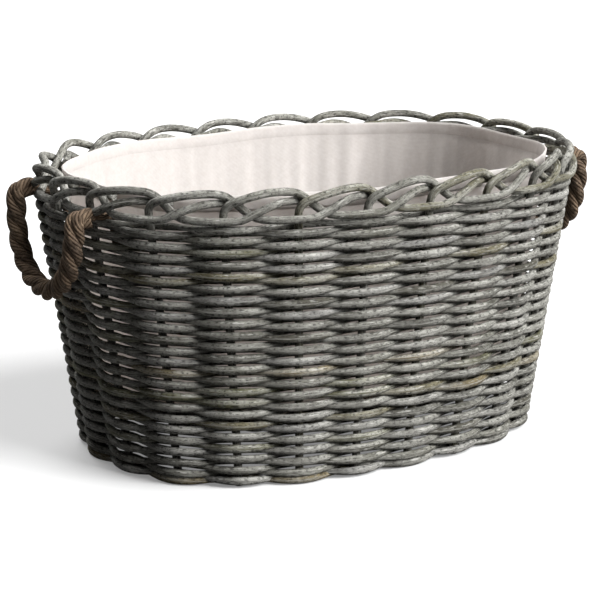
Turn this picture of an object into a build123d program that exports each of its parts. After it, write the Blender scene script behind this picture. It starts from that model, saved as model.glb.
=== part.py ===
from build123d import *
import os
from bisect import bisect
from math import atan2, cos, degrees, hypot, pi, radians, sin, tan

# A tapered oval log basket of willow rods, with a cloth liner and two rope handles.
# X runs along the basket, Y across it, +Z up. The origin is on the floor, under the middle.

# Basket: outside sizes of the wall, and its height
basket_height = 280
rim_length = 544
rim_width = 394
base_length = 466
base_width = 334
oval_power = 2.4

# Wall: upright stakes, with weave rods that pass in front of one stake and behind the next
stake_count = 22
stake_diameter = 7.5
first_stake = 0.7
rod_thickness = 8
weave_gap = 0.8
row_pitch = 10.6
rod_gap = 0.3
foot_height = 1.8
base_level = 46

# Border: how one stake's upper end is laid down over its neighbours.
# Each point is stakes along, distance outward and height above the border's underside.
# The distances and heights are for stakes of the drawn diameter, and grow with thicker ones.
drawn_diameter = 7.5
drawn_border_height = 28
border_route = [
    (0.00, 0.0, 11.5),
    (0.08, 2.2, 16.8),
    (0.22, 3.2, 19.6),
    (0.42, 2.2, 22.3),
    (0.63, -0.6, 23.9),
    (0.86, -4.2, 24.0),
    (1.02, -6.4, 22.2),
    (1.14, -5.3, 17.8),
    (1.27, -3.0, 10.8),
    (1.40, 0.8, 5.3),
    (1.56, 5.6, 4.2),
    (1.80, 8.3, 4.1),
    (2.03, 8.6, 4.1),
    (2.22, 8.5, 5.1),
    (2.40, 7.9, 9.7),
    (2.57, 4.9, 13.6),
    (2.75, -0.6, 15.9),
    (2.90, -6.0, 15.9),
    (3.02, -10.2, 15.4),
    (3.14, -13.2, 14.8),
    (3.28, -14.8, 14.2),
]

# Base: a mat of crossed sticks with rods woven over and under them
base_stick_diameter = 9
base_long_diameter = 5
base_stick_count = 9
base_stick_spacing = 44
base_long_count = 3
base_long_spacing = 60
base_rod = 7
base_rod_pitch = 8
base_ring_count = 18
base_clearance = 1.3
stick_play = 0.2

# Liner: a cloth tub, hemmed at its top edge
liner_clearance = 1.95
liner_thickness = 2
liner_below_rim = 10
liner_lift = 1
hem_height = 14
hem_thickness = 1.2
hem_gap = 0.4

# Rope handles
rope_diameter = 19
handle_front_stake = 0.905
handle_back_stake = -1.0
handle_drop = 77
handle_nest = 3
throat_height = 5
throat_width = 16
tail_thickness = 4.4
tail_width = 24
tail_length = 42
rope_clearance = 1.2
throat_gap = 1

# Worked out from the sizes above
thickening = stake_diameter / drawn_diameter
border_height = drawn_border_height * thickening
border_level = basket_height - border_height
stake_radius = stake_diameter / 2
rod_height = row_pitch / 2 - rod_gap
weave_swing = (stake_diameter + rod_thickness) / 2 + weave_gap
wall_outside = weave_swing + rod_thickness / 2
wall_inside = -wall_outside
row_count = int((border_level - foot_height) / row_pitch)
weave_top = foot_height + row_pitch * row_count
rope_level = (weave_top + border_level) / 2
border_inside = -min(outward for along, outward, above in border_route) * thickening
liner_inset = border_inside + stake_radius + liner_clearance
liner_top = basket_height - liner_below_rim
handle_reach = rim_length / 2 + rope_diameter / 2 - handle_nest
table_steps = 1440

os.makedirs("parts", exist_ok=True)


def half_axes(height):
    """The half length and half width of the oval that the stakes stand on."""
    share = height / border_level
    length = base_length + (rim_length - base_length) * share
    width = base_width + (rim_width - base_width) * share
    return length / 2 - wall_outside, width / 2 - wall_outside


def oval_at(angle, height, outward):
    """A point at an angle round the oval, moved outward square to it."""
    a, b = half_axes(height)
    c = cos(angle)
    s = sin(angle)
    x = a * abs(c) ** (2 / oval_power) * (1 if c >= 0 else -1)
    y = b * abs(s) ** (2 / oval_power) * (1 if s >= 0 else -1)
    nx = abs(x / a) ** (oval_power - 1) / a * (1 if x >= 0 else -1)
    ny = abs(y / b) ** (oval_power - 1) / b * (1 if y >= 0 else -1)
    size = hypot(nx, ny)
    return x + outward * nx / size, y + outward * ny / size


def length_table():
    """The distance run along the oval at equal steps of angle, starting from -X."""
    run = [0]
    last = oval_at(-pi, border_level / 2, 0)
    for step in range(1, table_steps + 1):
        here = oval_at(-pi + 2 * pi * step / table_steps, border_level / 2, 0)
        run.append(run[-1] + hypot(here[0] - last[0], here[1] - last[1]))
        last = here
    return run


run_length = length_table()
stake_spacing = run_length[-1] / stake_count


def place(stakes, height, outward=0):
    """A point so many stake spacings round the oval from -X, by way of -Y."""
    wanted = (stakes % stake_count) * stake_spacing
    step = max(bisect(run_length, wanted) - 1, 0)
    step = min(step, table_steps - 1)
    part_step = (wanted - run_length[step]) / (run_length[step + 1] - run_length[step])
    angle = -pi + 2 * pi * (step + part_step) / table_steps
    x, y = oval_at(angle, height, outward)
    return Vector(x, y, height)


def corner_radii(points, share=0.45):
    """The largest fillet that each corner's two runs allow."""
    radii = []
    for before, corner, after in zip(points, points[1:], points[2:]):
        run = min((corner - before).length, (after - corner).length)
        turn = (corner - before).get_angle(after - corner)
        radii.append(share * run / tan(radians(turn) / 2))
    return radii


def rod_along(points, diameter):
    """A round rod along straight runs joined by tangent arcs."""
    path = FilletPolyline(*points, radius=corner_radii(points))
    section = Plane(origin=path @ 0, z_dir=path % 0) * Circle(diameter / 2)
    return sweep(section, path=path)


def ring_face(height, outline):
    """A closed face at a height, whose edge follows a formula outward of the oval."""
    count = stake_count * 4
    points = [place(n / 4, height, outline(n / 4)) for n in range(count)]
    return make_face(Spline(*points, periodic=True))


def band(height, thick, centre, wide):
    """A flat closed band that follows a formula, centred on it."""
    outer = ring_face(height, lambda s: centre(s) + wide / 2)
    inner = ring_face(height, lambda s: centre(s) - wide / 2)
    return extrude(outer - inner, amount=thick, dir=(0, 0, 1))


def course(height, side):
    """One weave rod, outside the even stakes and inside the odd ones, or the reverse."""
    return band(
        height,
        rod_height,
        lambda s: side * weave_swing * cos(pi * (s - first_stake)),
        rod_thickness,
    )


def weave_row(row):
    """Two rods, one half a row above the other, that change sides at every stake."""
    height = foot_height + row_pitch * row
    lower = course(height, 1)
    upper = course(height + row_pitch / 2, -1)
    return Compound([lower, upper])


def stake(number):
    """An upright rod that leans with the wall and is laid down into the border."""
    start = first_stake + number
    foot = place(start, 0)
    head = place(start, border_level)
    below = foot + (foot - head) * (stake_diameter / border_level)
    points = [below]
    for along, outward, above in border_route:
        height = border_level + above * thickening
        points.append(place(start + along, height, outward * thickening))
    rod = rod_along(points, stake_diameter)
    return split(rod, bisect_by=Plane.XY, keep=Keep.TOP)


def inside_reach(height, outward):
    """The half length and half width inside the wall, this far out of the stakes' oval."""
    a, b = half_axes(height)
    return a + outward, b + outward


def across_at(x, height, outward):
    """Half the width of the oval at a distance along it."""
    a, b = inside_reach(height, outward)
    return b * (1 - abs(x / a) ** oval_power) ** (1 / oval_power)


def along_at(y, height, outward):
    """Half the length of the oval at a distance across it."""
    a, b = inside_reach(height, outward)
    return a * (1 - abs(y / b) ** oval_power) ** (1 / oval_power)


def spaced(count, spacing):
    """Evenly spaced places about the middle."""
    return [(n - (count - 1) / 2) * spacing for n in range(count)]


def stick(middle, direction, length, diameter):
    """A straight round stick about its middle."""
    start = middle - direction * (length / 2)
    return extrude(Plane(origin=start, z_dir=direction) * Circle(diameter / 2), amount=length)


mat_edge = wall_inside - base_clearance
stick_level = base_level + base_rod + base_stick_diameter / 2 + stick_play
mat_top = stick_level + base_stick_diameter / 2 + stick_play + base_rod


def base_cross_sticks():
    """Sticks across the base, each slit for the long sticks to pass through."""
    holes = [
        stick(
            Vector(0, y, stick_level),
            Vector(1, 0, 0),
            base_length,
            base_long_diameter + 2 * stick_play,
        )
        for y in spaced(base_long_count, base_long_spacing)
    ]
    sticks = []
    for x in spaced(base_stick_count, base_stick_spacing):
        length = 2 * across_at(x, base_level, mat_edge)
        rod = stick(Vector(x, 0, stick_level), Vector(0, 1, 0), length, base_stick_diameter)
        for hole in holes:
            rod = rod - hole
        sticks.append(rod)
    return Compound(sticks)


def base_long_sticks():
    """Sticks along the base, threaded through the cross sticks."""
    sticks = []
    for y in spaced(base_long_count, base_long_spacing):
        length = 2 * along_at(y, base_level, mat_edge)
        middle = Vector(0, y, stick_level)
        sticks.append(stick(middle, Vector(1, 0, 0), length, base_long_diameter))
    return Compound(sticks)


def base_rods(level):
    """Rods laid round the base mat on one side of its sticks, ring inside ring."""
    rings = []
    for ring in range(base_ring_count):
        outward = mat_edge - base_rod / 2 - base_rod_pitch * ring
        a, b = inside_reach(base_level, outward)
        outer = base_oval(level, a + base_rod / 2, b + base_rod / 2)
        inner = base_oval(level, a - base_rod / 2, b - base_rod / 2)
        rings.append(extrude(outer - inner, amount=base_rod, dir=(0, 0, 1)))
    return Compound(rings)


def base_oval(level, a, b):
    """A flat oval face with the wall's own form."""
    count = 48
    points = []
    for n in range(count):
        c = cos(2 * pi * n / count)
        s = sin(2 * pi * n / count)
        x = a * abs(c) ** (2 / oval_power) * (1 if c >= 0 else -1)
        y = b * abs(s) ** (2 / oval_power) * (1 if s >= 0 else -1)
        points.append(Vector(x, y, level))
    return make_face(Spline(*points, periodic=True))


liner_floor = mat_top + liner_lift
handle_front = -place(handle_front_stake, rope_level).Y
handle_back = place(handle_back_stake, rope_level).Y


def liner_outline(height, inward):
    """The liner's outline at a height, this far inside its outer face."""
    return ring_face(height, lambda s: -liner_inset - inward)


def tub(low, high, outside, inside):
    """A tapered ring of cloth between two heights."""
    outer = loft([liner_outline(low, outside), liner_outline(high, outside)], ruled=True)
    inner = loft([liner_outline(low, inside), liner_outline(high, inside)], ruled=True)
    return outer - inner


def liner_wall():
    """The liner's standing side."""
    return tub(liner_floor, liner_top, 0, liner_thickness)


def liner_bottom():
    """The liner's flat bottom, sewn to the foot of its side."""
    return extrude(liner_outline(liner_floor, liner_thickness), amount=liner_thickness)


def liner_hem():
    """The turned-in hem inside the top of the liner's side."""
    return tub(
        liner_top - hem_height,
        liner_top,
        liner_thickness + hem_gap,
        liner_thickness + hem_gap + hem_thickness,
    )


def handle_route():
    """The left rope's points, from its front leg down and round to its back leg."""
    x = -handle_reach
    low = rope_level - handle_drop
    return [
        Vector(x, -handle_front, rope_level),
        Vector(x, -handle_front + 1, rope_level - 18),
        Vector(x, -handle_front + 6, rope_level - 36),
        Vector(x, -handle_front + 17, low + 23),
        Vector(x, -handle_front + 35, low + 8),
        Vector(x, -2, low),
        Vector(x, handle_back - 45, low + 1),
        Vector(x, handle_back - 24, low + 10),
        Vector(x, handle_back - 9, low + 26),
        Vector(x, handle_back - 2, low + 44),
        Vector(x, handle_back + 0.5, rope_level - 16),
        Vector(x, handle_back, rope_level),
    ]


def rope_handle():
    """The left hanging loop, with a round turn where each leg bends into the wall."""
    points = handle_route()
    loop = rod_along(points, rope_diameter)
    for turn in (points[0], points[-1]):
        loop = loop + Pos(turn.X, turn.Y, turn.Z) * Sphere(rope_diameter / 2)
    return loop


def rope_end(y):
    """A leg's hidden end: squeezed flat through the wall, then combed out inside it."""
    a, b = half_axes(rope_level)
    wall = a * (1 - abs(y / b) ** oval_power) ** (1 / oval_power)
    slope_x = abs(wall / a) ** (oval_power - 1) / a
    slope_y = abs(y / b) ** (oval_power - 1) / b * (1 if y > 0 else -1)
    turn = degrees(atan2(slope_y, -slope_x))
    lean = degrees(atan2(a - half_axes(0)[0], rope_level))
    tail_centre = wall_inside - rope_clearance - tail_thickness / 2
    inner = wall + (tail_centre - tail_thickness / 2) * cos(atan2(slope_y, slope_x))
    outer = handle_reach - rope_diameter / 2 - throat_gap
    throat = Box(outer - inner, throat_width, throat_height)
    throat = Pos(-(outer + inner) / 2, y, rope_level) * throat
    tail = Box(
        tail_thickness,
        tail_width,
        tail_length,
        align=(Align.CENTER, Align.CENTER, Align.MAX),
    )
    tail = Pos(tail_centre, 0, throat_height / 2) * Rot(0, lean, 0) * tail
    tail = Pos(-wall, y, rope_level) * Rot(0, 0, turn) * tail
    return throat + tail


def rope_ends():
    """The two fixed ends of the left handle's rope."""
    return Compound([rope_end(-handle_front), rope_end(handle_back)])


def turned(shape):
    """The same shape at the basket's other end."""
    return Rot(0, 0, 180) * shape


def save(shape, node):
    """Write one node's file and say what it holds."""
    export_step(shape, "parts/" + node + ".step")
    print(node, len(shape.solids()), "solids", round(shape.volume), "mm3")


print("stake spacing", round(stake_spacing, 2))
print("weave top", weave_top, "border underside", border_level)
print("rope radii", [round(radius) for radius in corner_radii(handle_route())])
for number in range(stake_count):
    save(stake(number), f"stake_{number + 1:02d}")
for row in range(row_count):
    save(weave_row(row), f"weave_row_{row + 1:02d}")
save(base_cross_sticks(), "base_cross_sticks")
save(base_long_sticks(), "base_long_sticks")
save(base_rods(base_level), "base_rods_under")
save(base_rods(mat_top - base_rod), "base_rods_over")
save(liner_wall(), "liner_wall")
save(liner_bottom(), "liner_bottom")
save(liner_hem(), "liner_hem")
save(rope_handle(), "left_rope_handle")
save(turned(rope_handle()), "right_rope_handle")
save(rope_ends(), "left_rope_ends")
save(turned(rope_ends()), "right_rope_ends")
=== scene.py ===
# %% [markdown]
# # A willow log basket with rope handles
# The basket is an oval wall of round willow rods. Upright stakes stand round the oval, and thin
# weaving rods run in front of one stake and behind the next. At the top every stake is bent over
# and laid down across its neighbours, which makes the looped border. A loose cloth liner stands
# inside, and a loop of thick rope hangs at each end. The frame below is the engineering model:
# every piece made here but the two hanging ropes follows one of its bodies, so that it moves
# when that body moves.

import bpy
import numpy as np
from math import cos, hypot, pi, radians, sin
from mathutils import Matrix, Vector, noise


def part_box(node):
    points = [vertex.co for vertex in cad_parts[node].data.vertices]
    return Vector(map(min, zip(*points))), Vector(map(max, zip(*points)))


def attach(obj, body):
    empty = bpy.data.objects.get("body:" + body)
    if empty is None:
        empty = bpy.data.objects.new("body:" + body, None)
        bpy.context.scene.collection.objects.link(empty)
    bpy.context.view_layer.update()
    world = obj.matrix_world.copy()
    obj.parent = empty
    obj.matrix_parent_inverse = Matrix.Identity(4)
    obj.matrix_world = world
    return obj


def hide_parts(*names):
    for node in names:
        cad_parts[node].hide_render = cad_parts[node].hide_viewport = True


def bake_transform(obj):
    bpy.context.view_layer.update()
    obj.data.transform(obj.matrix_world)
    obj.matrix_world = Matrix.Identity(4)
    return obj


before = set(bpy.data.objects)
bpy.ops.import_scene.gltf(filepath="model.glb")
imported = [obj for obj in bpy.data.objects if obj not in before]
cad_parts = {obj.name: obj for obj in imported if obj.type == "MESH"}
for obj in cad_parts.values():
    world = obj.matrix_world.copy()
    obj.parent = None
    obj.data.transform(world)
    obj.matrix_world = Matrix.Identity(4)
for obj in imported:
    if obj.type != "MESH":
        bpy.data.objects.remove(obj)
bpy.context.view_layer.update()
mm = 0.001

# %% [markdown]
# ## The oval that everything stands on
# A superellipse is an oval whose ends are a little squarer than an ellipse's. Its one power says
# how square. The rim and the base have the same power, and the wall between them is straight, so
# one function gives any point of the wall from three numbers: how many stakes along, how high,
# and how far outward. Every rod is then drawn in those three numbers.

# %% Sizes of the wall
STAKES = 22
STAKE = 7.5 * mm
FIRST_STAKE = 0.7
OVAL_POWER = 2.4
RIM_LENGTH = 544 * mm
RIM_WIDTH = 394 * mm
BASE_LENGTH = 466 * mm
BASE_WIDTH = 334 * mm
HEIGHT = 280 * mm
BORDER_HEIGHT = 28 * mm
BORDER_LEVEL = HEIGHT - BORDER_HEIGHT
WALL_HALF = 12.55 * mm
OVAL_STEPS = 1440


def half_axes(height):
    """Half the length and half the width of the stakes' oval at a height."""
    share = height / BORDER_LEVEL
    length = BASE_LENGTH + (RIM_LENGTH - BASE_LENGTH) * share
    width = BASE_WIDTH + (RIM_WIDTH - BASE_WIDTH) * share
    return length / 2 - WALL_HALF, width / 2 - WALL_HALF


def signed_power(value, power):
    """A power that keeps the sign, for numbers or arrays."""
    return np.sign(value) * np.abs(value) ** power


def oval(angle, height, outward):
    """Points at angles round the oval, moved outward square to it."""
    a, b = half_axes(height)
    x = a * signed_power(np.cos(angle), 2 / OVAL_POWER)
    y = b * signed_power(np.sin(angle), 2 / OVAL_POWER)
    nx = signed_power(x / a, OVAL_POWER - 1) / a
    ny = signed_power(y / b, OVAL_POWER - 1) / b
    size = np.hypot(nx, ny)
    return x + outward * nx / size, y + outward * ny / size, nx / size, ny / size


angles = np.linspace(-pi, pi, OVAL_STEPS + 1)
ring_x, ring_y, _, _ = oval(angles, BORDER_LEVEL / 2, 0)
run_length = np.concatenate([[0], np.cumsum(np.hypot(np.diff(ring_x), np.diff(ring_y)))])
SPACING = run_length[-1] / STAKES


def wall(stakes, height, outward):
    """Points of the wall, and the outward direction at each. All three may be arrays."""
    angle = np.interp(np.mod(stakes, STAKES) * SPACING, run_length, angles)
    x, y, nx, ny = oval(angle, height, outward)
    z = np.broadcast_to(np.asarray(height, float), x.shape)
    lean = (RIM_LENGTH - BASE_LENGTH) / 2 / BORDER_LEVEL
    out = np.stack([nx, ny, np.full_like(nx, -lean)], -1)
    out /= np.linalg.norm(out, axis=-1, keepdims=True)
    return np.stack([x, y, z], -1), out


print("stake spacing at mid height", round(SPACING / mm, 1), "mm")

# %% [markdown]
# ## One function that draws every rod
# A rod is a tube along a line. Blender's curve objects can draw tubes, but they can't flatten
# where two rods press on each other, and they keep no record of which rod is which. So the tube
# is built as a mesh, ring by ring. Each corner also stores three numbers for the material: how
# far along the rod it is, how far round, and the rod's own random number.


# %% A smooth line
def smooth_line(points, step):
    """A Catmull-Rom line, which passes through every given point, cut into even steps."""
    points = np.asarray(points, float)
    ends = np.vstack([2 * points[0] - points[1], points, 2 * points[-1] - points[-2]])
    fine = []
    for k in range(1, len(ends) - 2):
        p0, p1, p2, p3 = ends[k - 1 : k + 3]
        t = np.linspace(0, 1, 24, endpoint=False)[:, None]
        bend = 2 * p0 - 5 * p1 + 4 * p2 - p3
        twist = 3 * p1 - p0 - 3 * p2 + p3
        fine.append(0.5 * (2 * p1 + (p2 - p0) * t + bend * t**2 + twist * t**3))
    fine = np.vstack(fine + [points[-1:]])
    run = np.concatenate([[0], np.cumsum(np.linalg.norm(np.diff(fine, axis=0), axis=1))])
    at = np.linspace(0, run[-1], max(int(run[-1] / step), 3) + 1)
    return np.stack([np.interp(at, run, fine[:, i]) for i in range(3)], -1)


def unit(vectors):
    """The same directions, each one long."""
    return vectors / np.maximum(np.linalg.norm(vectors, axis=-1, keepdims=True), 1e-12)


test_line = smooth_line([(0, 0, 0), (1, 0, 0), (1, 1, 0)], 0.5)
print("a line through three points has", len(test_line), "even places")


# %% Tubes and pieces
def tube(line, out, half_out, half_up, seed, sides=12):
    """Rings of corners along a line, wide by half_out and tall by half_up, with closed ends."""
    ahead = unit(np.gradient(line, axis=0))
    side = unit(out - ahead * np.sum(out * ahead, axis=1, keepdims=True))
    up = np.cross(ahead, side)
    turn = 2 * pi * np.arange(sides) / sides
    wide = side[:, None] * np.cos(turn)[None, :, None] * np.reshape(half_out, (-1, 1, 1))
    tall = up[:, None] * np.sin(turn)[None, :, None] * np.reshape(half_up, (-1, 1, 1))
    corners = line[:, None] + wide + tall
    count = len(line)
    run = np.concatenate([[0], np.cumsum(np.linalg.norm(np.diff(line, axis=0), axis=1))])
    facts = np.zeros((count, sides, 3))
    facts[..., 0] = run[:, None]
    facts[..., 1] = turn[None, :] / (2 * pi)
    facts[..., 2] = seed
    grid = np.arange(count * sides).reshape(count, sides)
    here = grid[:-1]
    after = grid[1:]
    quads = np.stack([here, np.roll(here, -1, 1), np.roll(after, -1, 1), after], -1)
    faces = quads.reshape(-1, 4).tolist()
    faces.append(grid[0][::-1].tolist())
    faces.append(grid[-1].tolist())
    return corners.reshape(-1, 3), faces, facts.reshape(-1, 3)


def add_piece(name, parts, material, body, nodes=()):
    """One object from several tubes, for CAD nodes. It rides on a body if one is given."""
    corners = []
    faces = []
    facts = []
    start = 0
    for part_corners, part_faces, part_facts in parts:
        corners.append(part_corners)
        facts.append(part_facts)
        faces += [[n + start for n in face] for face in part_faces]
        start += len(part_corners)
    mesh = bpy.data.meshes.new(name)
    mesh.from_pydata(np.vstack(corners).tolist(), [], faces)
    mesh.polygons.foreach_set("use_smooth", [len(face) == 4 for face in faces])
    rod = mesh.attributes.new("rod", "FLOAT_VECTOR", "POINT")
    rod.data.foreach_set("vector", np.vstack(facts).astype(np.float32).ravel())
    mesh.materials.append(material)
    mesh.update()
    piece = bpy.data.objects.new(name, mesh)
    bpy.context.scene.collection.objects.link(piece)
    if body:
        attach(piece, body)
    if nodes:
        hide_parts(*nodes)
    return piece


print("a tube has 12 sides, and its ends are closed")

# %% [markdown]
# ## Colours and helpers for material nodes
# Screen colours are stored bent (sRGB), and the renderer works on straight (linear) light. One
# function turns a hex colour into linear numbers, so that a colour is written as it looks. A
# material is a tree of nodes, and one small function adds a node with its settings and links.


# %% Colours and nodes
def colour(hex_code):
    """A linear colour with alpha from an sRGB hex code."""
    values = [int(hex_code[i : i + 2], 16) / 255 for i in (1, 3, 5)]
    linear = [v / 12.92 if v <= 0.04045 else ((v + 0.055) / 1.055) ** 2.4 for v in values]
    return (*linear, 1.0)


def add_node(tree, kind, settings=None, **links):
    """A node with its settings and its inputs, each a value or another node's output."""
    node = tree.nodes.new(kind)
    for key, value in (settings or {}).items():
        setattr(node, key, value)
    for key, value in links.items():
        place = int(key[1:]) if key[0] == "_" else key.replace("_", " ")
        if isinstance(value, bpy.types.NodeSocket):
            tree.links.new(value, node.inputs[place])
        else:
            node.inputs[place].default_value = value
    return node


def new_material(name):
    """An empty material: its node tree and its shader."""
    material = bpy.data.materials.new(name)
    material.use_nodes = True
    tree = material.node_tree
    return material, tree, tree.nodes["Principled BSDF"]


def ramp(tree, factor, stops, mode="LINEAR"):
    """A colour ramp from (place, hex colour) stops."""
    node = add_node(tree, "ShaderNodeValToRGB", Fac=factor)
    node.color_ramp.interpolation = mode
    while len(node.color_ramp.elements) < len(stops):
        node.color_ramp.elements.new(0.5)
    for element, (place, code) in zip(node.color_ramp.elements, stops):
        element.position = place
        element.color = colour(code)
    return node.outputs["Color"]


def mix(tree, factor, first, second, blend="MIX"):
    """Two colours mixed by a factor."""
    settings = {"data_type": "RGBA", "blend_type": blend}
    node = add_node(tree, "ShaderNodeMix", settings, _0=factor, _6=first, _7=second)
    return node.outputs[2]


def maths(tree, operation, first, second=0.0):
    """One sum on two numbers."""
    node = add_node(tree, "ShaderNodeMath", {"operation": operation}, _0=first, _1=second)
    return node.outputs[0]


print("mid grey in linear light", round(colour("#808080")[0], 3))

# %% [markdown]
# ## Weathered, grey-washed willow
# Willow bark left outside goes silver grey. The maker also brushes the basket with thinned grey
# paint and wipes it, so the wash stays in patches and the dark bark shows as specks and short
# cracks between them. The eye reads that as a chalky, dry surface with no shine. The colour is
# worked out from each rod's own numbers: its length, its angle and its random number. So every
# rod has its own tone, and the marks run along it, whichever way it bends.


# %% Coordinates on a rod
SEED_STEP = 31.7  # metres between one rod's marks and the next rod's, per unit of seed


def rod_space(tree, stretch):
    """Coordinates in metres on a straightened rod, squeezed along its length by stretch."""
    fact = add_node(tree, "ShaderNodeAttribute", {"attribute_name": "rod"})
    split = add_node(tree, "ShaderNodeSeparateXYZ", Vector=fact.outputs["Vector"])
    turn = maths(tree, "MULTIPLY", split.outputs[1], 2 * pi)
    y = maths(tree, "MULTIPLY", maths(tree, "COSINE", turn), STAKE / 2)
    z = maths(tree, "MULTIPLY", maths(tree, "SINE", turn), STAKE / 2)
    own = maths(tree, "MULTIPLY", split.outputs[2], SEED_STEP)
    x = maths(tree, "ADD", maths(tree, "MULTIPLY", split.outputs[0], stretch), own)
    return add_node(tree, "ShaderNodeCombineXYZ", X=x, Y=y, Z=z).outputs[0], split.outputs[2]


def grain(tree, space, size, detail=3.0, rough=0.6):
    """Noise whose marks are about size metres across."""
    node = add_node(
        tree, "ShaderNodeTexNoise", Vector=space, Scale=0.5 / size, Detail=detail, Roughness=rough
    )
    return node.outputs["Fac"]


print("the willow marks are 0.8 to 9 mm across")


# %% The willow material
def weathered_willow(name, tones):
    """Grey-washed willow, with a tone for each rod from a list of hex colours."""
    material, tree, shader = new_material(name)
    streaked, seed = rod_space(tree, 0.22)
    even, _ = rod_space(tree, 0.7)
    body = ramp(tree, seed, [(n / len(tones), tone) for n, tone in enumerate(tones)], "CONSTANT")
    drift = grain(tree, streaked, 5 * mm)
    wash = ramp(tree, drift, [(0.42, "#000000"), (0.62, "#FFFFFF")])
    washed = mix(tree, maths(tree, "MULTIPLY", wash, 0.60), body, colour("#A9A8A1"))
    old = ramp(tree, grain(tree, even, 9 * mm), [(0.28, "#FFFFFF"), (0.50, "#000000")])
    aged = mix(tree, maths(tree, "MULTIPLY", old, 0.68), washed, colour("#35322A"))
    specks = grain(tree, even, 1.3 * mm, 4.0, 0.7)
    dark = ramp(tree, specks, [(0.40, "#FFFFFF"), (0.51, "#000000")])
    spotted = mix(tree, maths(tree, "MULTIPLY", dark, 0.82), aged, colour("#1E1C18"))
    cracks = grain(tree, streaked, 0.8 * mm, 3.0, 0.6)
    light = ramp(tree, cracks, [(0.55, "#000000"), (0.68, "#FFFFFF")])
    final = mix(tree, maths(tree, "MULTIPLY", light, 0.45), spotted, colour("#CBCAC4"))
    tree.links.new(final, shader.inputs["Base Color"])
    shader.inputs["Roughness"].default_value = 0.78
    shader.inputs["IOR"].default_value = 1.45
    shader.inputs["Specular IOR Level"].default_value = 0.22
    height = maths(tree, "ADD", maths(tree, "MULTIPLY", cracks, 0.7), specks)
    bump = add_node(tree, "ShaderNodeBump", Height=height, Strength=0.55, Distance=0.5 * mm)
    tree.links.new(bump.outputs[0], shader.inputs["Normal"])
    return material


WEAVE_TONES = [
    "#585752", "#6B6A63", "#4D4C46", "#76756F", "#626159", "#635E4A", "#706F69", "#54534C",
    "#7F7E79", "#575641", "#676660", "#74736D", "#4A4840", "#6C624B", "#7A7976", "#5F5E58",
]
BORDER_TONES = ["#6C6B63", "#5E5D56", "#75746D", "#666352", "#575650", "#706F69"]
willow_weave = weathered_willow("weathered_willow_weave", WEAVE_TONES)
willow_stakes = weathered_willow("weathered_willow_stakes", BORDER_TONES)
willow_base = weathered_willow("weathered_willow_base", ["#6E6A5D", "#7B776A", "#625E52"])
print("willow materials", willow_weave.name, willow_stakes.name, willow_base.name)

# %% [markdown]
# ## The weave
# The wall is randed: one rod passes in front of a stake and behind the next. The rod above does
# the reverse. At a stake only every second course is in front, so the front rods stand a whole
# row apart, and between two stakes all the courses have to cross. There the rods press each other
# flat, which gives the pointed ends that each front length seems to have. A cosine wave gives the
# in and out, and the same wave flattens the rod where it crosses. Three rods, one after another,
# go once round the basket, because a willow rod isn't long enough to do it alone.

# %% Sizes of the weave
ROWS = 23
ROW = 10.86 * mm
LOWEST = 6.1 * mm
ROD_TALL = 4.05 * mm
ROD_FLAT = 2.65 * mm
ROD_DEEP = 3.4 * mm
SWING = STAKE / 2 + ROD_DEEP + 0.1 * mm
RISE = -0.4 * mm
RODS_A_COURSE = 3
RINGS_A_STAKE = 15
random = np.random.default_rng(7)
print("a weaving rod swings", round(SWING / mm, 2), "mm to each side of the stakes")


# %% Draw the weave
def wander(stakes, seed, size):
    """A slow, smooth unevenness along a rod."""
    values = [noise.noise(Vector((s * 0.8, seed * 13.7, 4.2))) for s in stakes]
    return size * np.array(values)


def course(level, side):
    """The rods of one course, outside the even stakes if side is 1 and the odd ones if -1."""
    inside = FIRST_STAKE + (1 if side > 0 else 0)
    first = inside + 2 * random.integers(0, STAKES // 2)
    third = STAKES / RODS_A_COURSE
    starts = [first + 2 * round(third * n / 2) for n in range(RODS_A_COURSE)]
    rods = []
    for start, end in zip(starts, starts[1:] + [first + STAKES]):
        seed = random.random()
        count = int((end - start) * RINGS_A_STAKE)
        s = np.linspace(start + 0.02, end - 0.02, count)
        wave = side * np.cos(pi * (s - FIRST_STAKE))
        slope = side * np.sin(pi * (s - FIRST_STAKE))
        swing = SWING * (1.05 * wave - 0.05 * wave**3)
        height = level + RISE * slope + wander(s, seed, 0.8 * mm)
        height = np.maximum(height, ROD_TALL + 0.4 * mm)
        line, out = wall(s, height, swing + wander(s, seed + 5, 0.7 * mm))
        pressed = ROD_FLAT + (ROD_TALL - ROD_FLAT) * np.abs(wave)
        taper = 1.03 - 0.08 * np.linspace(0, 1, count)
        rods.append(tube(line, out, ROD_DEEP * taper, pressed * taper, seed))
    return rods


for row in range(ROWS):
    level = LOWEST + ROW * row
    rods = course(level, 1) + course(level - ROW / 2, -1)
    node = f"weave_row_{row + 1:02d}"
    add_piece(f"woven_rods_{row + 1:02d}", rods, willow_weave, "basket", [node])
print("weave rows", ROWS, "each of", 2 * RODS_A_COURSE, "rods")
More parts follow.
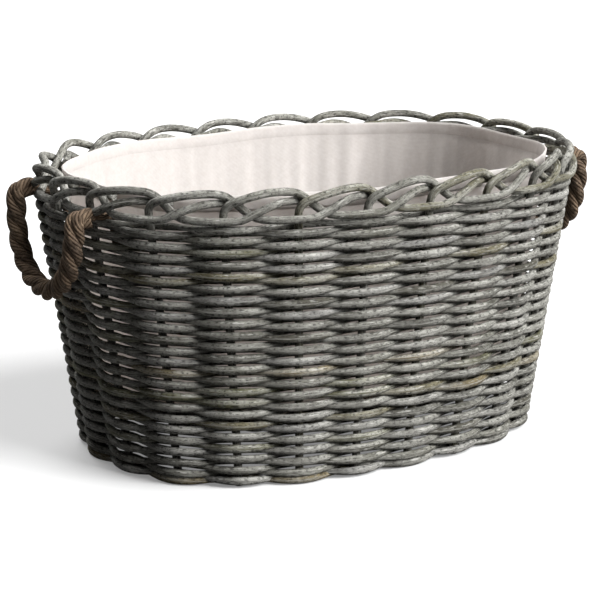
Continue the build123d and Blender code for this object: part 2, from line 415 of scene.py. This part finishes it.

# %% [markdown]
# ## Stakes and border
# Each stake stands in the wall and its top is laid down to the right. It arches up and passes
# inside the next stake, comes down low across the outside of the second, then rises again and
# passes inside the third, where it is cut. One route serves all the stakes, because each
# repeats the last. Its numbers are stakes along, mm outward and mm up from the border's foot.

# %% The route of a border rod
BORDER_STRETCH = 1.12
BORDER_FOOT = 248.9 * mm
STAKE_ROUTE = [
    (0.00, 0.0, 1.0),
    (0.00, 0.3, 7.0),
    (0.02, 1.0, 12.0),
    (0.09, 2.2, 16.3),
    (0.22, 3.2, 19.4),
    (0.42, 2.2, 22.4),
    (0.63, -0.6, 24.1),
    (0.86, -4.2, 24.0),
    (1.02, -6.4, 22.0),
    (1.14, -5.6, 17.6),
    (1.27, -3.0, 10.8),
    (1.40, 0.8, 5.6),
    (1.56, 5.6, 4.0),
    (1.80, 8.3, 3.8),
    (2.03, 8.8, 3.7),
    (2.22, 8.7, 4.6),
    (2.40, 7.9, 9.2),
    (2.57, 4.9, 13.4),
    (2.75, -0.6, 15.8),
    (2.90, -6.0, 15.9),
    (3.02, -10.2, 15.4),
    (3.14, -13.2, 14.8),
    (3.28, -14.8, 14.2),
]
print("the border route has", len(STAKE_ROUTE), "points")


# %% Draw the stakes and their border ends
def stake_rod(number):
    """One stake, from its cut foot to its cut end inside the border."""
    start = FIRST_STAKE + number
    seed = random.random()
    points = [wall(start, height, 0)[0] for height in np.linspace(0, BORDER_FOOT, 9)[:-1]]
    for along, outward, above in STAKE_ROUTE:
        uneven = 1 + 0.05 * noise.noise(Vector((number * 3.1, along, 0)))
        height = BORDER_FOOT + above * uneven * BORDER_STRETCH * mm
        points.append(wall(start + along, height, outward * mm)[0])
    line = smooth_line(points, 4.5 * mm)
    centre = np.array([0, 0, HEIGHT])
    out = unit((line - centre) * np.array([0.5, 1, 0]))
    thick = STAKE / 2 * (1.03 - 0.07 * np.linspace(0, 1, len(line)))
    corners, faces, facts = tube(line, out, thick, thick, seed)
    corners[:, 2] = np.maximum(corners[:, 2], 0)  # the foot is cut level with the floor
    return corners, faces, facts


for number in range(STAKES):
    name = f"stake_rod_{number + 1:02d}"
    node = f"stake_{number + 1:02d}"
    add_piece(name, [stake_rod(number)], willow_stakes, "basket", [node])
print("stakes", STAKES)

# %% [markdown]
# ## The base mat
# The base is set up inside the wall. Short sticks lie across it, long thin ones are threaded
# through them, and rods are woven round and round, over one cross stick and under the next. A
# cosine of the distance along the basket lifts each ring over the sticks and drops it between.

# %% Sizes of the base mat
low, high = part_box("base_cross_sticks")
STICK_LEVEL = (low[2] + high[2]) / 2
STICK_THICK = (high[2] - low[2]) / 2
STICK_GAP = 44 * mm
CROSS_STICKS = 9
LONG_GAP = 60 * mm
LONG_STICKS = 3
LONG_STICK = 2.5 * mm
MAT_ROD = 3.5 * mm
MAT_PITCH = 8 * mm
_, mat_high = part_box("base_rods_over")
MAT_HALF_LENGTH = mat_high[0]
MAT_HALF_WIDTH = mat_high[1]
MAT_RINGS = int((MAT_HALF_WIDTH - MAT_ROD) / MAT_PITCH) + 1
print("the mat is", round(2 * MAT_HALF_LENGTH, 3), "by", round(2 * MAT_HALF_WIDTH, 3), "m")


# %% Draw the base mat
def straight(start, end, thick, seed):
    """A straight round stick."""
    line = np.linspace(start, end, 24)
    out = np.tile([0.0, 0.0, 1.0], (24, 1))
    size = np.full(24, thick)
    return tube(line, out, size, size, seed)


def mat_width(x):
    """Half the mat's width at a distance along it."""
    return MAT_HALF_WIDTH * (1 - abs(x / MAT_HALF_LENGTH) ** OVAL_POWER) ** (1 / OVAL_POWER)


def mat_length(y):
    """Half the mat's length at a distance across it."""
    return MAT_HALF_LENGTH * (1 - abs(y / MAT_HALF_WIDTH) ** OVAL_POWER) ** (1 / OVAL_POWER)


def mat_ring(ring, side):
    """One rod round the mat, over the even sticks if side is 1 and under them if -1."""
    angle = np.linspace(-pi, pi, 260)
    a = MAT_HALF_LENGTH - MAT_ROD - MAT_PITCH * ring
    b = MAT_HALF_WIDTH - MAT_ROD - MAT_PITCH * ring
    x = a * signed_power(np.cos(angle), 2 / OVAL_POWER)
    y = b * signed_power(np.sin(angle), 2 / OVAL_POWER)
    z = STICK_LEVEL + side * (STICK_THICK + MAT_ROD) * np.cos(pi * x / STICK_GAP)
    line = np.stack([x, y, z], -1)
    out = unit(np.stack([x, y, np.zeros_like(x)], -1))
    size = np.full(len(x), MAT_ROD)
    return tube(line, out, size * 1.1, size, random.random(), sides=8)


across = []
for n in range(CROSS_STICKS):
    x = (n - (CROSS_STICKS - 1) / 2) * STICK_GAP
    ends = [(x, -mat_width(x), STICK_LEVEL), (x, mat_width(x), STICK_LEVEL)]
    across.append(straight(*ends, STICK_THICK, random.random()))
add_piece("base_cross_rods", across, willow_base, "basket", ["base_cross_sticks"])
along = []
for n in range(LONG_STICKS):
    y = (n - (LONG_STICKS - 1) / 2) * LONG_GAP
    ends = [(-mat_length(y), y, STICK_LEVEL), (mat_length(y), y, STICK_LEVEL)]
    along.append(straight(*ends, LONG_STICK, random.random()))
add_piece("base_long_rods", along, willow_base, "basket", ["base_long_sticks"])
for side, node in ((1, "base_rods_over"), (-1, "base_rods_under")):
    rings = [mat_ring(ring, side) for ring in range(MAT_RINGS)]
    add_piece(f"base_mat_{node[10:]}", rings, willow_base, "basket", [node])
print("base rings", MAT_RINGS)

# %% [markdown]
# ## The cloth liner
# The liner is a tub of off-white cotton and polyester cloth, as used for basket linings: matt,
# thin enough to let light through, with a turned-in hem at the top. It isn't stretched, so its
# side hangs in soft upright folds. Cloth simulation could make these, but a hung tub this shallow
# only settles into a few waves, so the waves are drawn in the sheet from smooth noise: strongest
# half way down, and small at the hem and at the bottom seam, where the stitching holds them.


# %% The cloth material
THREAD_PITCH = 1.2 * mm


def lining_cloth(name, hex_code):
    """Thin plain-woven cloth: matt, a little fuzzy, and lit from behind."""
    material, tree, shader = new_material(name)
    place = add_node(tree, "ShaderNodeTexCoord").outputs["Object"]
    drift = ramp(tree, grain(tree, place, 60 * mm), [(0.3, "#E6E1DE"), (0.7, "#ECE8E5")])
    slub = grain(tree, place, 2.0 * mm)
    threads = ramp(tree, slub, [(0.3, "#F6F5F4"), (0.7, "#FFFFFF")])
    cloth = mix(tree, 1.0, mix(tree, 0.5, drift, colour(hex_code)), threads, "MULTIPLY")
    tree.links.new(cloth, shader.inputs["Base Color"])
    shader.inputs["Roughness"].default_value = 0.92
    shader.inputs["Specular IOR Level"].default_value = 0.15
    shader.inputs["Sheen Weight"].default_value = 0.15
    # The real threads are about 0.5 mm apart. The weft is drawn 1.2 mm apart and the warp
    # coarser still, so that they show. A wave texture of scale 1 has a band each 2 pi / 20 units.
    weft_scale = 2 * pi / 20 / THREAD_PITCH
    weft = {"bands_direction": "Z"}
    warp = {"bands_direction": "DIAGONAL"}
    across = add_node(tree, "ShaderNodeTexWave", warp, Vector=place, Scale=weft_scale / 2)
    upward = add_node(tree, "ShaderNodeTexWave", weft, Vector=place, Scale=weft_scale)
    woven = maths(tree, "ADD", across.outputs["Fac"], upward.outputs["Fac"])
    height = maths(tree, "ADD", woven, maths(tree, "MULTIPLY", slub, 2.0))
    bump = add_node(tree, "ShaderNodeBump", Height=height, Strength=0.25, Distance=0.15 * mm)
    tree.links.new(bump.outputs[0], shader.inputs["Normal"])
    thin = add_node(tree, "ShaderNodeBsdfTranslucent", Color=cloth)
    both = add_node(tree, "ShaderNodeMixShader", Fac=0.5)
    tree.links.new(shader.outputs[0], both.inputs[1])
    tree.links.new(thin.outputs[0], both.inputs[2])
    tree.links.new(both.outputs[0], tree.nodes["Material Output"].inputs["Surface"])
    return material


lining = lining_cloth("cotton_lining_cloth", "#EBE7E4")
hemming = lining_cloth("cotton_hem_cloth", "#EFECEA")
print("cloths", lining.name, hemming.name)

# %% [markdown]
# ## The liner's side and hem
# Both are bands of the same kind of sheet, so one function makes them. A Solidify modifier gives
# the sheet its thickness, which keeps the mesh simple. The hem stands a little further in than
# the side, and its lowest edge sinks into the side, as a stitched edge does.

# %% Sizes and folds of the liner
liner_low, liner_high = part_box("liner_wall")
hem_low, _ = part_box("liner_hem")
LINER_FLOOR = liner_low[2]
LINER_TOP = liner_high[2]
LINER_INSET = 21.5 * mm
CLOTH = 0.8 * mm
COLUMNS_A_STAKE = 24
AROUND = STAKES * COLUMNS_A_STAKE


def liner_fold(stakes, share):
    """How far the cloth stands out of its plain shape, a share of the way up its side."""
    turn = 2 * pi * stakes / STAKES
    broad = wander(np.cos(turn) * 9 + share, 3, 3.0 * mm)
    broad += wander(np.sin(turn) * 9 - share, 8, 3.0 * mm)
    fine = wander(np.cos(turn) * 26 + 0.4 * share, 21, 1.6 * mm)
    fine += wander(np.sin(turn) * 26, 17, 1.6 * mm)
    held = 0.25 + 0.75 * sin(pi * min(max(share, 0.0), 1.0))
    return (broad + fine) * held


print("the liner is", round((LINER_TOP - LINER_FLOOR) / mm), "mm deep")


# %% Draw the liner's side and hem
def solid_cloth(name, mesh, offset):
    """A piece made of a cloth sheet, with its thickness laid to one side of it or the other."""
    piece = bpy.data.objects.new(name, mesh)
    bpy.context.scene.collection.objects.link(piece)
    solid = piece.modifiers.new("thickness", "SOLIDIFY")
    solid.thickness = CLOTH
    solid.offset = offset
    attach(piece, "liner")
    return piece


def cloth_ring(name, levels, insets, material, nodes):
    """A closed band of cloth through several heights and insets, folded, with real thickness."""
    stakes = np.arange(AROUND) / COLUMNS_A_STAKE
    span = LINER_TOP - LINER_FLOOR
    rows = []
    for level, inset in zip(levels, insets):
        share = (level - LINER_FLOOR) / span
        fold = np.minimum(liner_fold(stakes, share), 0.9 * mm)
        height = level + 1.2 * mm * share**3 * np.sin(stakes * 2.1 + 0.6)
        height = np.minimum(height, LINER_TOP + 1 * mm)
        rows.append(wall(stakes, height, fold - inset)[0])
    grid = np.arange(len(rows) * AROUND).reshape(len(rows), AROUND)
    here = grid[:-1]
    above = grid[1:]
    quads = np.stack([here, np.roll(here, -1, 1), np.roll(above, -1, 1), above], -1)
    mesh = bpy.data.meshes.new(name)
    mesh.from_pydata(np.vstack(rows).tolist(), [], quads.reshape(-1, 4).tolist())
    mesh.polygons.foreach_set("use_smooth", [True] * len(mesh.polygons))
    mesh.materials.append(material)
    piece = solid_cloth(name, mesh, 1)
    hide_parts(*nodes)
    return piece


side_levels = np.linspace(LINER_FLOOR + 1 * mm, LINER_TOP, 40)
side_insets = np.full(len(side_levels), LINER_INSET)
liner_side = cloth_ring("liner_side", side_levels, side_insets, lining, ["liner_wall"])
hem_levels = np.linspace(hem_low[2], LINER_TOP + 0.3 * mm, 6)
hem_insets = LINER_INSET + np.array([-0.5, 0.2, 0.7, 0.9, 0.9, 0.9]) * mm
liner_edge = cloth_ring("liner_hem_band", hem_levels, hem_insets, hemming, ["liner_hem"])
print("cloth bands", liner_side.name, liner_edge.name)

# %% [markdown]
# ## The liner's bottom
# The bottom is an oval that lies on the mat, so only its small ripples are drawn.


# %% Draw the liner's bottom
def liner_base():
    """The liner's bottom: a flat oval that ripples a little towards its seam."""
    rings = 26
    stakes = np.arange(AROUND) / COLUMNS_A_STAKE
    edge = wall(stakes, LINER_FLOOR + 1.2 * mm, -LINER_INSET)[0]
    rows = [edge * np.array([share, share, 1]) for share in np.linspace(1, 0.03, rings)]
    corners = np.vstack(rows)
    for corner in corners:
        ripple = noise.noise(Vector((corner[0] * 22, corner[1] * 22, 1.7)))
        corner[2] += 1.2 * mm * abs(ripple)
    grid = np.arange(rings * AROUND).reshape(rings, AROUND)
    here = grid[:-1]
    inner = grid[1:]
    quads = np.stack([here, np.roll(here, -1, 1), np.roll(inner, -1, 1), inner], -1)
    faces = quads.reshape(-1, 4).tolist()
    faces.append(grid[-1].tolist())
    mesh = bpy.data.meshes.new("liner_floor")
    mesh.from_pydata(corners.tolist(), [], faces)
    mesh.polygons.foreach_set("use_smooth", [True] * len(mesh.polygons))
    mesh.materials.append(lining)
    piece = solid_cloth("liner_floor", mesh, -1)
    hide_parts("liner_bottom")
    return piece


liner_bottom = liner_base()
print("bottom", liner_bottom.name, "of", len(liner_bottom.data.polygons), "faces")

# %% [markdown]
# ## The rope handles
# Each handle is a hawser-laid rope of natural fibre: three strands, each of many yarns, laid up
# left-handed. Its legs pass through the wall under the border, so each leg bends sharply down
# where it comes out. The rope's middle line is a NURBS curve through the same route as in the
# engineering model. Three strands wind round that line at an even pitch, and each strand is
# itself grooved by its yarns. The fibre is dry and matt, and paler where the yarns are worn.


# %% The rope material
YARNS = 8.0
YARN_TURN = 70 * mm


def natural_rope(name):
    """Brown, dry plant fibre, with shade painted dark into the grooves between its yarns, and a
    paler fleck where the yarns are worn.
    """
    material, tree, shader = new_material(name)
    fact = add_node(tree, "ShaderNodeAttribute", {"attribute_name": "rod"})
    split = add_node(tree, "ShaderNodeSeparateXYZ", Vector=fact.outputs["Vector"])
    run = maths(tree, "MULTIPLY", split.outputs[0], 1 / YARN_TURN)
    turns = maths(tree, "MULTIPLY", maths(tree, "ADD", split.outputs[1], run), YARNS)
    saw = maths(tree, "ABSOLUTE", maths(tree, "SINE", maths(tree, "MULTIPLY", turns, pi)))
    place = add_node(tree, "ShaderNodeTexCoord").outputs["Object"]
    fibre = grain(tree, place, 1.4 * mm, 4.0, 0.7)
    patch = grain(tree, place, 11 * mm)
    base = ramp(tree, patch, [(0.3, "#50443A"), (0.55, "#6D5C4C"), (0.75, "#85735F")])
    # Painted shade: the grooves between the yarns are darkened in the colour itself, standing in
    # for the shade that falls in them.
    yarn_groove_shade = ramp(tree, saw, [(0.0, "#2E2620"), (0.35, "#A89A8A"), (0.8, "#FFFFFF")])
    groove_shaded_fibre = mix(tree, 0.85, base, yarn_groove_shade, "MULTIPLY")
    worn = ramp(tree, fibre, [(0.52, "#000000"), (0.72, "#FFFFFF")])
    final = mix(tree, maths(tree, "MULTIPLY", worn, 0.4), groove_shaded_fibre, colour("#A8957E"))
    tree.links.new(final, shader.inputs["Base Color"])
    shader.inputs["Roughness"].default_value = 0.9
    shader.inputs["Specular IOR Level"].default_value = 0.2
    height = maths(tree, "ADD", saw, maths(tree, "MULTIPLY", fibre, 0.6))
    bump = add_node(tree, "ShaderNodeBump", Height=height, Strength=0.8, Distance=0.9 * mm)
    tree.links.new(bump.outputs[0], shader.inputs["Normal"])
    return material


fibre_rope = natural_rope("twisted_plant_fibre_rope")
print("rope material", fibre_rope.name)

# %% The rope's route
ROPE = 19 * mm
STRAND = 5.0 * mm
STRAND_OFFSET = 4.9 * mm
ROPE_LAY = 62 * mm
REACH = 278.5 * mm
FRONT = 59 * mm
BACK = 65 * mm
DROP = 77 * mm
BACK_LIFT = 6 * mm
EXIT = REACH - 15 * mm
_, throat_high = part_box("left_rope_handle")
ROPE_LEVEL = throat_high[2] - ROPE / 2
LOW = ROPE_LEVEL - DROP
ROPE_ROUTE = [
    (-EXIT, -FRONT - 1 * mm, ROPE_LEVEL - 1 * mm),
    (-REACH + 4 * mm, -FRONT, ROPE_LEVEL + 1 * mm),
    (-REACH, -FRONT, ROPE_LEVEL - 8 * mm),
    (-REACH, -FRONT + 1 * mm, ROPE_LEVEL - 20 * mm),
    (-REACH, -FRONT + 6 * mm, ROPE_LEVEL - 36 * mm),
    (-REACH, -FRONT + 17 * mm, LOW + 23 * mm),
    (-REACH, -FRONT + 35 * mm, LOW + 8 * mm),
    (-REACH, -2 * mm, LOW),
    (-REACH, BACK - 45 * mm, LOW + 1 * mm),
    (-REACH, BACK - 24 * mm, LOW + 10 * mm),
    (-REACH, BACK - 9 * mm, LOW + 26 * mm),
    (-REACH, BACK - 2 * mm, LOW + 44 * mm),
    (-REACH, BACK + 0.5 * mm, ROPE_LEVEL - 16 * mm),
    (-REACH, BACK, ROPE_LEVEL - 1 * mm),
    (-REACH + 4 * mm, BACK, ROPE_LEVEL + 8 * mm),
    (-EXIT, BACK, ROPE_LEVEL + BACK_LIFT),
]
print("the rope hangs to", round(LOW, 3), "m")


# %% Lines for the rope
def nurbs_points(name, points):
    """Points along a smooth NURBS line through a route."""
    curve = bpy.data.curves.new(name, "CURVE")
    curve.dimensions = "3D"
    curve.resolution_u = 24
    spline = curve.splines.new("NURBS")
    spline.points.add(len(points) - 1)
    for point, place in zip(spline.points, points):
        point.co = (*place, 1)
    spline.order_u = 3
    spline.use_endpoint_u = True
    thing = bpy.data.objects.new(name, curve)
    mesh = bpy.data.meshes.new_from_object(thing)
    line = np.array([tuple(v.co) for v in mesh.vertices])
    bpy.data.objects.remove(thing)
    bpy.data.curves.remove(curve)
    bpy.data.meshes.remove(mesh)
    return line


def evenly(line, step):
    """The same line cut into even steps."""
    run = np.concatenate([[0], np.cumsum(np.linalg.norm(np.diff(line, axis=0), axis=1))])
    at = np.linspace(0, run[-1], int(run[-1] / step) + 1)
    return np.stack([np.interp(at, run, line[:, i]) for i in range(3)], -1), at


left_line, left_run = evenly(nurbs_points("rope_line", ROPE_ROUTE), 1.6 * mm)

# %% [markdown]
# ## The strands, and the rope's ends
# Each strand is a tube whose middle turns round the rope's line. Inside the wall the strands part
# and are combed flat down the inside, where the liner hides them, so a shorter listed line
# serves for each. These hidden ends ride on the basket; the hanging rope is not attached to
# any body.


# %% Strands and tails
def rope_strands(line, run):
    """Three strands wound left-handed round a line."""
    ahead = unit(np.gradient(line, axis=0))
    side = unit(np.cross(ahead, np.array([1.0, 0.02, 0.01])))
    for n in range(1, len(side)):
        side[n] = side[n - 1] - ahead[n] * np.dot(side[n - 1], ahead[n])
        side[n] /= np.linalg.norm(side[n])
    other = np.cross(ahead, side)
    strands = []
    for strand in range(3):
        turn = -2 * pi * (run / ROPE_LAY + strand / 3)
        out = side * np.cos(turn)[:, None] + other * np.sin(turn)[:, None]
        swell = 1 + 0.03 * np.sin(run / ROPE_LAY * 2 * pi * 1.7 + strand)
        centre = line + out * STRAND_OFFSET
        size = STRAND * swell
        strands.append(tube(centre, out, size * 0.94, size * 1.04, 0.1 + 0.3 * strand, sides=20))
    return strands


def stakes_at(y):
    """How many stakes round from -X the left end's wall is, at a distance across."""
    near = np.linspace(-3, 3, 1201)
    places = wall(near, ROPE_LEVEL, 0.0)[0]
    return float(near[np.argmin(np.abs(places[:, 1] - y))])


TAIL_ROUTE = [(0, -8.0), (-4, -14.5), (-16, -16.2), (-38, -16.2)]  # mm up, and mm outward


def rope_tail(y, lift):
    """A leg's hidden end: through the wall, then three strands combed flat down the inside."""
    stakes = stakes_at(y)
    strands = []
    for strand in range(3):
        aside = (strand - 1) * 6.5 * mm / SPACING
        points = [(-EXIT + 2 * mm, y + (strand - 1) * 5 * mm, ROPE_LEVEL + lift)]
        for height, outward in [(lift / mm, 4.0), *TAIL_ROUTE]:
            spot = wall(stakes + aside, ROPE_LEVEL + height * mm, outward * mm)[0]
            points.append(tuple(spot))
        line = smooth_line(points, 3 * mm)
        out = wall(np.full(len(line), stakes), line[:, 2], 0.0)[1]
        share = np.linspace(0, 1, len(line))
        deep = (3.0 - 1.2 * share) * mm
        wide = (2.6 + 0.8 * share) * mm
        up = np.tile([0.0, 0.0, 1.0], (len(line), 1))
        blend_out = unit(up * (1 - share[:, None]) + out * share[:, None])
        strands.append(tube(line, blend_out, deep, wide, 0.2 * strand, sides=14))
    return strands


def turn_round(parts):
    """The same tubes at the basket's other end."""
    flip = np.array([-1.0, -1.0, 1.0])
    return [(corners * flip, faces, facts) for corners, faces, facts in parts]


left_parts = rope_strands(left_line, left_run)
tail_parts = rope_tail(-FRONT, 0.0) + rope_tail(BACK, BACK_LIFT)
print("strands", len(left_parts), "tails", len(tail_parts))

# %% Add the ropes
for end, sign in (("left", 1), ("right", -1)):
    parts = left_parts if sign > 0 else turn_round(left_parts)
    tails = tail_parts if sign > 0 else turn_round(tail_parts)
    rope = add_piece(f"{end}_rope", parts, fibre_rope, None, [f"{end}_rope_handle"])
    add_piece(f"{end}_rope_tails", tails, fibre_rope, "basket", [f"{end}_rope_ends"])
    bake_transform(rope)

# %% [markdown]
# ## Floor and light
# A pale floor and a dim white sky stand for a product studio. Lamps near the basket would leave
# the far floor grey, so both lights are suns, which light all of it the same. They are wide, so
# their shadows are soft. The strong one comes from the front and the right, so the left end falls
# into shade and every rod shows its round form. The weaker one comes from above and behind: it
# fills the liner and shows through the gaps of the weave. The floor also glows a little to the
# camera, which keeps the shadow on it faint.


# %% The floor
FLOOR_GLOW = 0.25


def studio_paint(name, hex_code, bounce_code):
    """Matt floor paint. The light that bounces off it is dimmed, as by dark cards round a set."""
    material, tree, shader = new_material(name)
    bounced = add_node(tree, "ShaderNodeLightPath").outputs["Is Diffuse Ray"]
    paint = mix(tree, bounced, colour(hex_code), colour(bounce_code))
    tree.links.new(paint, shader.inputs["Base Color"])
    seen = add_node(tree, "ShaderNodeLightPath").outputs["Is Camera Ray"]
    tree.links.new(maths(tree, "MULTIPLY", seen, FLOOR_GLOW), shader.inputs["Emission Strength"])
    shader.inputs["Emission Color"].default_value = colour("#F4F4F4")
    shader.inputs["Roughness"].default_value = 0.95
    return material


floor_mesh = bpy.data.meshes.new("studio_floor")
FAR = 14.0
floor_corners = [(-FAR, -FAR, 0), (FAR, -FAR, 0), (FAR, FAR, 0), (-FAR, FAR, 0)]
floor_mesh.from_pydata(floor_corners, [], [(0, 1, 2, 3)])
floor_mesh.materials.append(studio_paint("pale_studio_floor", "#C4C4C4", "#3A3A3A"))
studio_floor = bpy.data.objects.new("studio_floor", floor_mesh)
bpy.context.scene.collection.objects.link(studio_floor)
print("floor", studio_floor.name, 2 * FAR, "m across")


# %% The lights
def sunlight(name, towards, spread, power):
    """A soft, far light that shines from a direction, the same all over the floor."""
    lamp = bpy.data.lights.new(name, "SUN")
    lamp.angle = radians(spread)
    lamp.energy = power
    thing = bpy.data.objects.new(name, lamp)
    thing.rotation_euler = Vector(towards).to_track_quat("Z", "Y").to_euler()
    bpy.context.scene.collection.objects.link(thing)


sunlight("key_light", (0.58, -0.80, 0.78), 45, 7.2)
sunlight("back_light", (0.05, 0.62, 1.0), 40, 2.7)
world = bpy.data.worlds.new("pale_sky")
world.use_nodes = True
world.node_tree.nodes["Background"].inputs["Color"].default_value = (1, 1, 1, 1)
world.node_tree.nodes["Background"].inputs["Strength"].default_value = 0.07
bpy.context.scene.world = world
bpy.context.scene.view_settings.view_transform = "Standard"
print("lights: key_light and back_light, world", world.name)

# %% [markdown]
# ## Camera
# A long lens from about two metres keeps the basket's lines nearly parallel. The camera looks a
# little down on it, from its front left corner. A small shift frames it without turning the view.

# %% Camera
TURN = radians(-31.7)
TILT = radians(13.8)
DISTANCE = 7.336 * HEIGHT
LENS = 126.0
camera_data = bpy.data.cameras.new("camera")
camera_data.lens = LENS
camera_data.sensor_width = 36.0
camera_data.shift_x = -0.0155
camera_data.shift_y = -0.0225
camera_data.clip_end = 60
camera = bpy.data.objects.new("camera", camera_data)
back = Vector((sin(TURN) * cos(TILT), -cos(TURN) * cos(TILT), sin(TILT)))
camera.location = Vector((0, 0, HEIGHT / 2)) + back * DISTANCE
camera.rotation_euler = (-back).to_track_quat("-Z", "Y").to_euler()
bpy.context.scene.collection.objects.link(camera)
bpy.context.scene.camera = camera
print("camera", round(DISTANCE, 2), "m away, lens", LENS, "mm")
